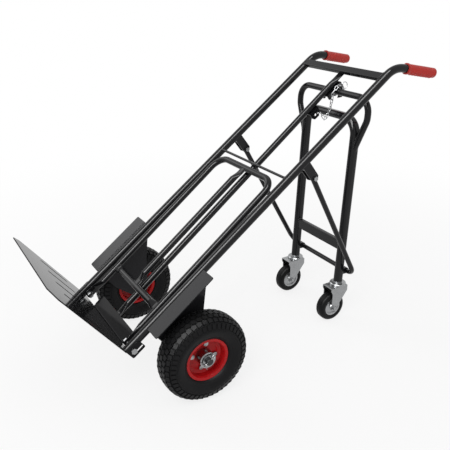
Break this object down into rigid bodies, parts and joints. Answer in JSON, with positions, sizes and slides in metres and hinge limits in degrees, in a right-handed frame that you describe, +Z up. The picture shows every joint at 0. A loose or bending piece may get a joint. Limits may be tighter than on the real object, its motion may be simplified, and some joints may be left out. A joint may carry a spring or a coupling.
{
  "type": "folding hand truck",
  "caption": "Folding tube-frame hand truck with slotted toe plate, hinged toe extension, pneumatic wheels and a fold-down castor leg frame, standing as a leaning trolley.",
  "frame": {"origin": "on the floor, under the middle of the bounding box as the truck stands on its wheels and castors", "axes": "+Z up; -Y is the front with the toe plate, +Y the grips; +X is the left of someone standing behind the grips"},
  "size_m": [0.57, 1.2198, 0.8541],
  "materials": {
    "frame_paint": "satin charcoal powder coat",
    "toe_paint": "glossy charcoal paint",
    "rim_paint": "gloss red paint",
    "grip": "matt red moulded grip",
    "tyre": "matt black rubber with block tread",
    "inner_tube": "matt butyl",
    "zinc": "bright zinc plate",
    "bearing_steel": "ground steel",
    "castor_tyre": "smooth black solid rubber",
    "castor_hub": "light grey hub"
  },
  "bodies": {
    "frame": {"left_rail": "frame_paint", "right_rail": "frame_paint", "left_grip": "grip", "right_grip": "grip", "top_crossbar": "frame_paint", "centre_rail": "frame_paint", "stop_rod": "frame_paint", "toe_plate": "toe_paint", "pivot_bolts": "zinc", "left_wheel_guard": "frame_paint", "right_wheel_guard": "frame_paint", "axle": "zinc", "axle_washers": "zinc", "split_pins": "zinc", "left_stay_bracket": "frame_paint", "right_stay_bracket": "frame_paint", "stay_bolts": "zinc", "upper_latch_bracket": "frame_paint", "lower_latch_bracket": "frame_paint", "chain_anchor": "zinc", "pin_chain": "zinc"},
    "toe_extension": {"extension_bow": "frame_paint", "extension_cross_tube": "frame_paint", "extension_centre_bar": "frame_paint"},
    "left_wheel": {"left_tyre": "tyre", "left_inner_tube": "inner_tube", "left_outer_rim": "rim_paint", "left_inner_rim": "rim_paint", "left_hub": "zinc", "left_bearings": "bearing_steel", "left_rim_bolts": "zinc"},
    "right_wheel": {"right_tyre": "tyre", "right_inner_tube": "inner_tube", "right_outer_rim": "rim_paint", "right_inner_rim": "rim_paint", "right_hub": "zinc", "right_bearings": "bearing_steel", "right_rim_bolts": "zinc"},
    "stay": {"stay_bail": "frame_paint"},
    "leg_frame": {"leg_bow": "frame_paint", "latch_loop": "frame_paint", "mid_bar": "frame_paint", "hinge_saddles": "frame_paint", "left_castor_head": "zinc", "right_castor_head": "zinc"},
    "left_castor": {"left_castor_fork": "zinc", "left_castor_axle": "zinc"},
    "right_castor": {"right_castor_fork": "zinc", "right_castor_axle": "zinc"},
    "left_castor_wheel": {"left_castor_tyre": "castor_tyre", "left_castor_hub": "castor_hub"},
    "right_castor_wheel": {"right_castor_tyre": "castor_tyre", "right_castor_hub": "castor_hub"},
    "pin": {"locking_pin": "zinc", "pin_ring": "zinc"}
  },
  "joints": [
    {"name": "toe_extension_fold", "type": "hinge", "parent": "frame", "child": "toe_extension", "pos_m": [0, -0.41361, 0.18022], "axis": [1, 0, 0], "range_deg": [0, 86]},
    {"name": "left_wheel_spin", "type": "hinge", "parent": "frame", "child": "left_wheel", "pos_m": [0.241, -0.23316, 0.13], "axis": [1, 0, 0], "continuous": true},
    {"name": "right_wheel_spin", "type": "hinge", "parent": "frame", "child": "right_wheel", "pos_m": [-0.241, -0.23316, 0.13], "axis": [1, 0, 0], "continuous": true},
    {"name": "stay_fold", "type": "hinge", "parent": "frame", "child": "stay", "pos_m": [0, 0.17017, 0.55478], "axis": [-1, 0, 0], "range_deg": [0, 60], "deforming": ["pin_chain"]},
    {"name": "leg_fold", "type": "hinge", "parent": "stay", "child": "leg_frame", "pos_m": [0, 0.38566, 0.17253], "axis": [1, 0, 0], "range_deg": [0, 26]},
    {"name": "left_castor_swivel", "type": "hinge", "parent": "leg_frame", "child": "left_castor", "pos_m": [0.1175, 0.35984, 0.12], "axis": [0, 0, 1], "continuous": true},
    {"name": "right_castor_swivel", "type": "hinge", "parent": "leg_frame", "child": "right_castor", "pos_m": [-0.1175, 0.35984, 0.12], "axis": [0, 0, 1], "continuous": true},
    {"name": "left_castor_spin", "type": "hinge", "parent": "left_castor", "child": "left_castor_wheel", "pos_m": [0.1175, 0.33184, 0.05], "axis": [1, 0, 0], "continuous": true},
    {"name": "right_castor_spin", "type": "hinge", "parent": "right_castor", "child": "right_castor_wheel", "pos_m": [-0.1175, 0.33184, 0.05], "axis": [1, 0, 0], "continuous": true},
    {"name": "pin_slide", "type": "slide", "parent": "frame", "child": "pin", "axis": [1, 0, 0], "range_m": [0, 0.05], "deforming": ["pin_chain"]}
  ],
  "couplings": [
    {"joint": "leg_fold", "follows": "stay_fold", "ratio": 0.43333}
  ]
}
